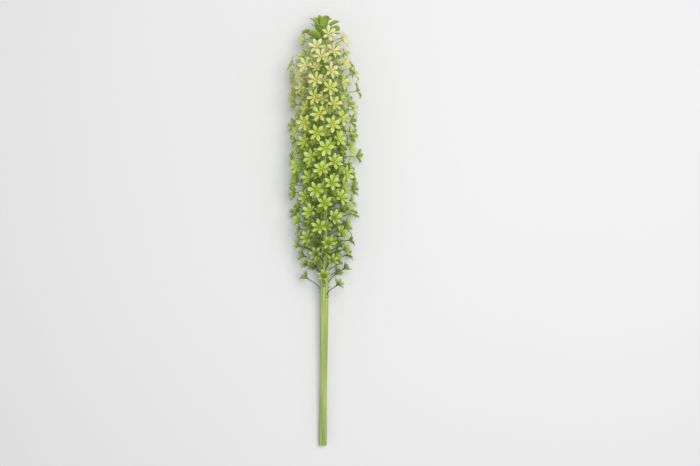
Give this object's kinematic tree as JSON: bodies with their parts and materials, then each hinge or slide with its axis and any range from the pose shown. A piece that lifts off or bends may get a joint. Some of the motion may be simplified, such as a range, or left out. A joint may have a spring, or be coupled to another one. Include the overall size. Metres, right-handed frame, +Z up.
{
  "type": "giant pineapple lily",
  "caption": "Cut flowering stem lying on its side: a bare stalk, a long raceme of starry six-tepalled florets on pedicels, and a crown of leafy bracts.",
  "frame": {"origin": "middle of the stem's footprint, on the surface that it lies on", "axes": "+Y along the stem, from the cut end towards the crown; +Z up"},
  "size_m": [0.1581, 0.8955, 0.1305],
  "materials": {
    "stalk": "smooth waxy green stalk",
    "green_florets": "lime green petals with paler edges",
    "cream_florets": "creamy white petals with green midribs",
    "crown_leaves": "satin green leaf with a pale rim"
  },
  "bodies": {
    "root": {"scape": "stalk", "raceme_lower": "green_florets", "raceme_upper": "cream_florets", "crown": "crown_leaves"}
  },
  "joints": []
}
